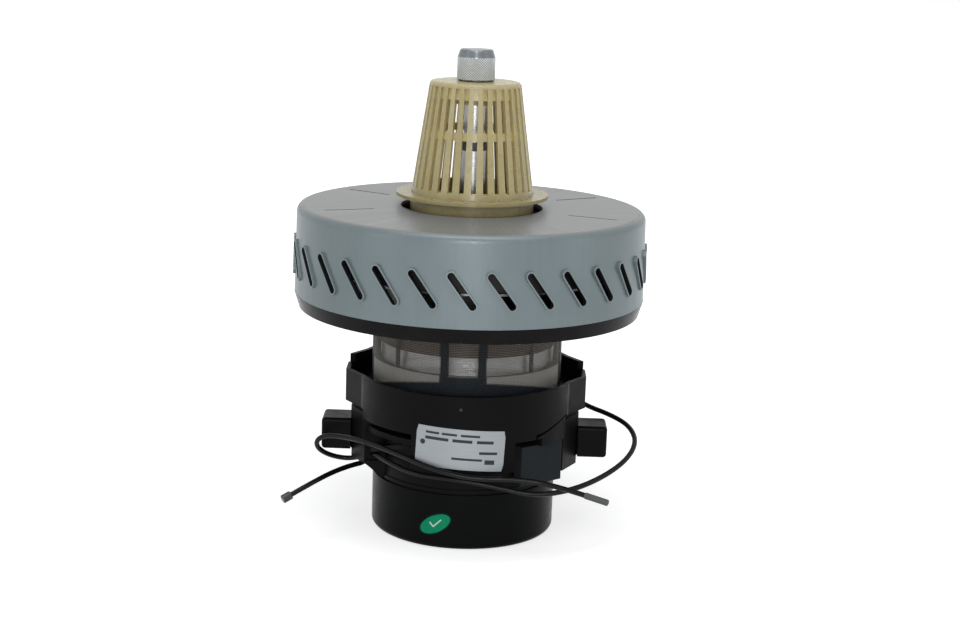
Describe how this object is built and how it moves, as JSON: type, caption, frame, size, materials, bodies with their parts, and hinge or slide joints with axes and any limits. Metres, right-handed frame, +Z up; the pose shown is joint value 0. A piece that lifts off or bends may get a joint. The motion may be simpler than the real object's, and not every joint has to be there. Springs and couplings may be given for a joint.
{
  "type": "vacuum cleaner motor",
  "caption": "Upright vacuum motor with a slotted round fan housing, mesh screen, black brush frame and a ribbed separator cone on its shaft.",
  "frame": {"origin": "centre of the cooling-fan cup's underside, on the shaft's axis", "axes": "+Z up along the shaft to the separator nut, -Y the front with the plate, +X to the right brush cap"},
  "size_m": [0.19, 0.1898, 0.2602],
  "materials": {
    "black_plastic": "moulded, fine grain",
    "cup_plastic": "moulded, satin to gloss",
    "housing_grey": "silver-grey paint on drawn steel",
    "base_black": "satin black paint",
    "cream_plastic": "moulded, slightly translucent",
    "nut_aluminium": "knurled",
    "fan_aluminium": "pressed sheet",
    "shaft_steel": "ground",
    "fastener_steel": "zinc plated",
    "dark_steel": "blackened",
    "core_steel": "stacked sheets",
    "mesh_steel": "woven wire",
    "copper": "copper, enamelled wire and turned bars",
    "holder_brass": "pressed sheet",
    "carbon": "pressed carbon",
    "bracket_brown": "moulded",
    "lead_black": "smooth",
    "sleeve_grey": "tubing",
    "tinned_tip": "crimped, tinned"
  },
  "bodies": {
    "motor_frame": {"bottom_cover": "cup_plastic", "brush_frame": "black_plastic", "terminal_cover": "black_plastic", "lower_bearing_outer": "shaft_steel", "brush_holder_left": "holder_brass", "brush_holder_right": "holder_brass", "brush_cap_left": "black_plastic", "brush_cap_right": "black_plastic", "stator_core": "core_steel", "field_coil_front": "copper", "field_coil_back": "copper", "through_bolts": "fastener_steel", "motor_housing": "black_plastic", "screen_frame": "black_plastic", "mesh_screen": "mesh_steel", "drive_end_bracket": "bracket_brown", "upper_bearing_outer": "shaft_steel", "housing_base": "base_black", "base_screws": "fastener_steel", "fan_housing": "housing_grey", "fan_shell": "fan_aluminium", "diffuser": "fan_aluminium", "rear_grommet": "lead_black", "left_grommet": "lead_black", "long_lead": "lead_black", "long_lead_sleeve": "sleeve_grey", "short_lead": "lead_black", "short_lead_tip": "tinned_tip"},
    "rotor": {"rotor_shaft": "shaft_steel", "fan_nut": "fastener_steel", "cooling_fan": "black_plastic", "fan_spacer": "fastener_steel", "lower_bearing_inner": "shaft_steel", "commutator": "copper", "armature_core": "core_steel", "armature_winding": "copper", "upper_bearing_inner": "shaft_steel", "lower_spacer": "fastener_steel", "lower_impeller_plate": "fan_aluminium", "lower_impeller_blades": "fan_aluminium", "lower_impeller_cover": "fan_aluminium", "impeller_spacer": "fastener_steel", "upper_impeller_plate": "fan_aluminium", "upper_impeller_blades": "fan_aluminium", "upper_impeller_cover": "fan_aluminium", "separator_spacer": "nut_aluminium", "stack_nut": "dark_steel", "separator_sleeve": "nut_aluminium", "separator": "cream_plastic"},
    "washer": {"separator_washer": "fastener_steel"},
    "nut": {"separator_nut": "nut_aluminium"},
    "left_brush": {"brush_left": "carbon", "brush_spring_left": "shaft_steel"},
    "right_brush": {"brush_right": "carbon", "brush_spring_right": "shaft_steel"}
  },
  "joints": [
    {"name": "rotor_spin", "type": "hinge", "parent": "motor_frame", "child": "rotor", "pos_m": [0, 0, 0], "axis": [0, 0, 1], "continuous": true},
    {"name": "nut_lift", "type": "slide", "parent": "rotor", "child": "washer", "axis": [0, 0, 1], "range_m": [0, 0.00875]},
    {"name": "nut_turn", "type": "hinge", "parent": "washer", "child": "nut", "pos_m": [0, 0, 0.2438], "axis": [0, 0, 1], "range_deg": [0, 2520]},
    {"name": "left_brush_slide", "type": "slide", "parent": "motor_frame", "child": "left_brush", "axis": [-1, 0, 0], "range_m": [0, 0.008], "stiffness_N_per_m": 200, "springref_m": -0.02, "deforming": ["brush_spring_left"]},
    {"name": "right_brush_slide", "type": "slide", "parent": "motor_frame", "child": "right_brush", "axis": [1, 0, 0], "range_m": [0, 0.008], "stiffness_N_per_m": 200, "springref_m": -0.02, "deforming": ["brush_spring_right"]}
  ],
  "couplings": [
    {"joint": "nut_turn", "follows": "nut_lift", "rad_per_m": 5026.5}
  ]
}
